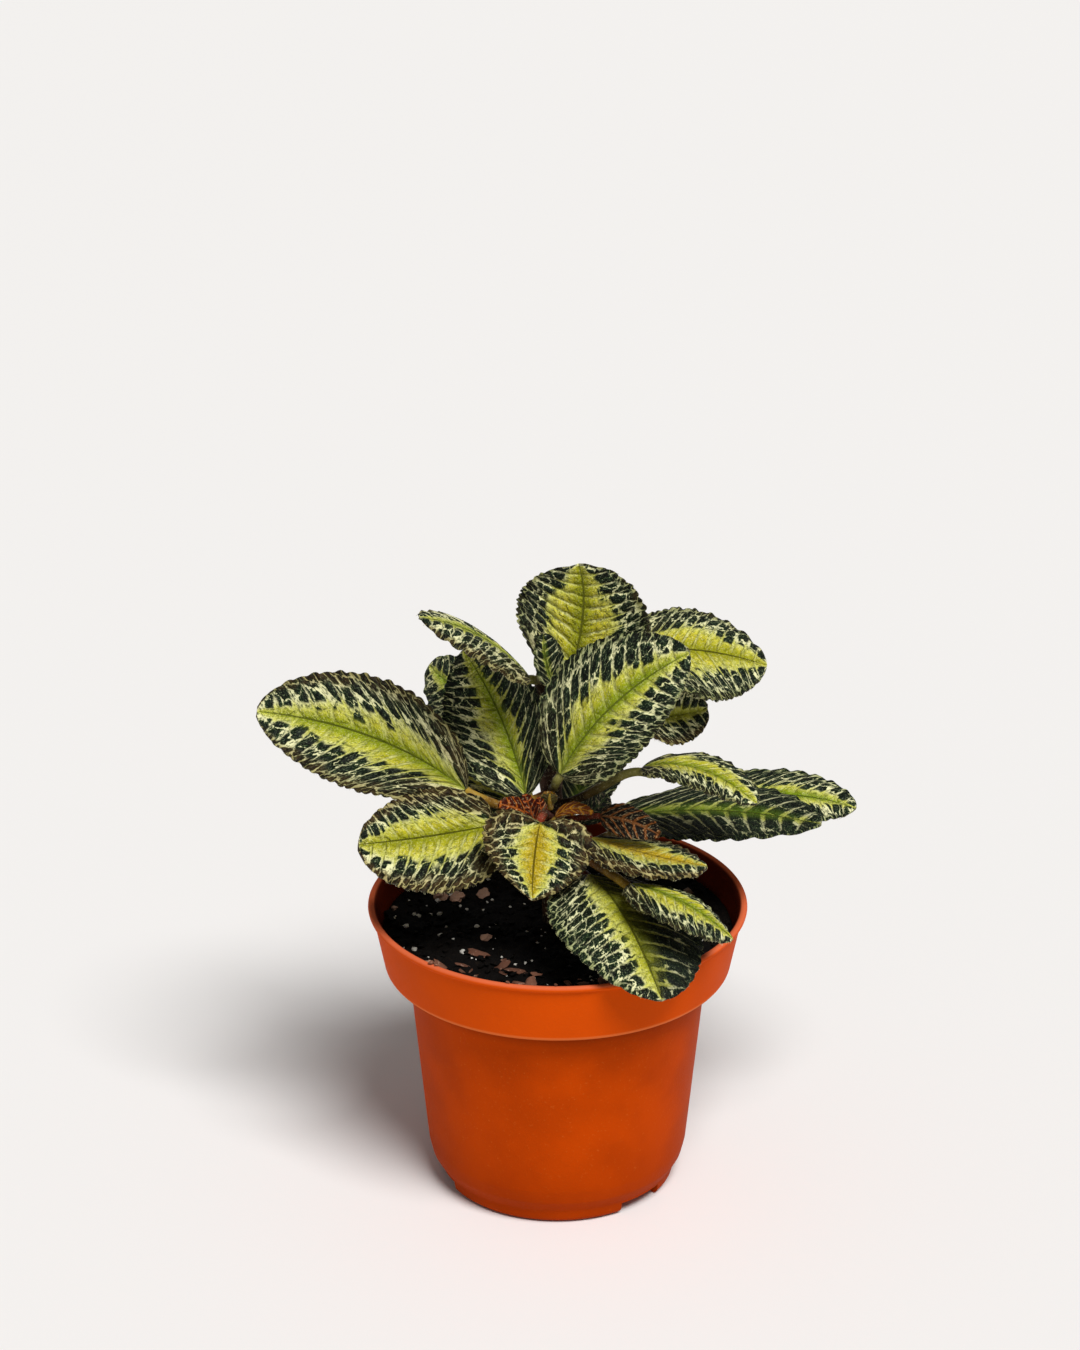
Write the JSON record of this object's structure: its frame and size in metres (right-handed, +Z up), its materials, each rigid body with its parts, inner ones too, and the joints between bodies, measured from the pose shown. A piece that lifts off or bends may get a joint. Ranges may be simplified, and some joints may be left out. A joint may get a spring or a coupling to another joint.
{
  "type": "potted episcia",
  "caption": "Small potted house plant with hairy, scallop-edged, net-veined leaves on a short stem, in a round thin-walled nursery pot filled with dark peat.",
  "frame": {"origin": "centre of the pot's foot ring, on the surface the pot stands on", "axes": "+Z up along the pot's axis; -Y is the front, where the heart-shaped leaf hangs; +X is to the right seen from the front"},
  "size_m": [0.1571, 0.1045, 0.1724],
  "materials": {
    "pot": "thin moulded plastic, orange-brown, soft sheen",
    "soil": "moist dark peat with pale grains",
    "stem": "fleshy hairy stalk, reddish brown",
    "leaf": "hairy leaf, dark green with pale net veins and a yellow-green middle",
    "young_leaf": "hairy young leaf, bronze to yellow"
  },
  "bodies": {
    "root": {"pot": "pot", "soil": "soil", "stem": "stem", "leaf_left_long": "leaf", "leaf_left_low": "leaf", "leaf_front_heart": "leaf", "leaf_right_folded": "leaf", "leaf_over_rim": "leaf", "leaf_right_thin": "leaf", "leaf_left_upright": "leaf", "leaf_left_arching": "leaf", "leaf_back_left": "leaf", "leaf_top": "leaf", "leaf_young_top": "young_leaf", "leaf_centre": "leaf", "leaf_right_top": "leaf", "leaf_right_back": "leaf", "leaf_right_arching": "leaf", "leaf_right_long": "leaf", "leaf_right_far": "leaf", "leaf_back_right": "leaf", "leaf_back": "leaf", "leaf_back_low": "leaf", "leaf_young_right": "young_leaf", "leaf_young_left": "young_leaf", "leaf_young_bud": "young_leaf", "leaf_young_front": "young_leaf"}
  },
  "joints": []
}
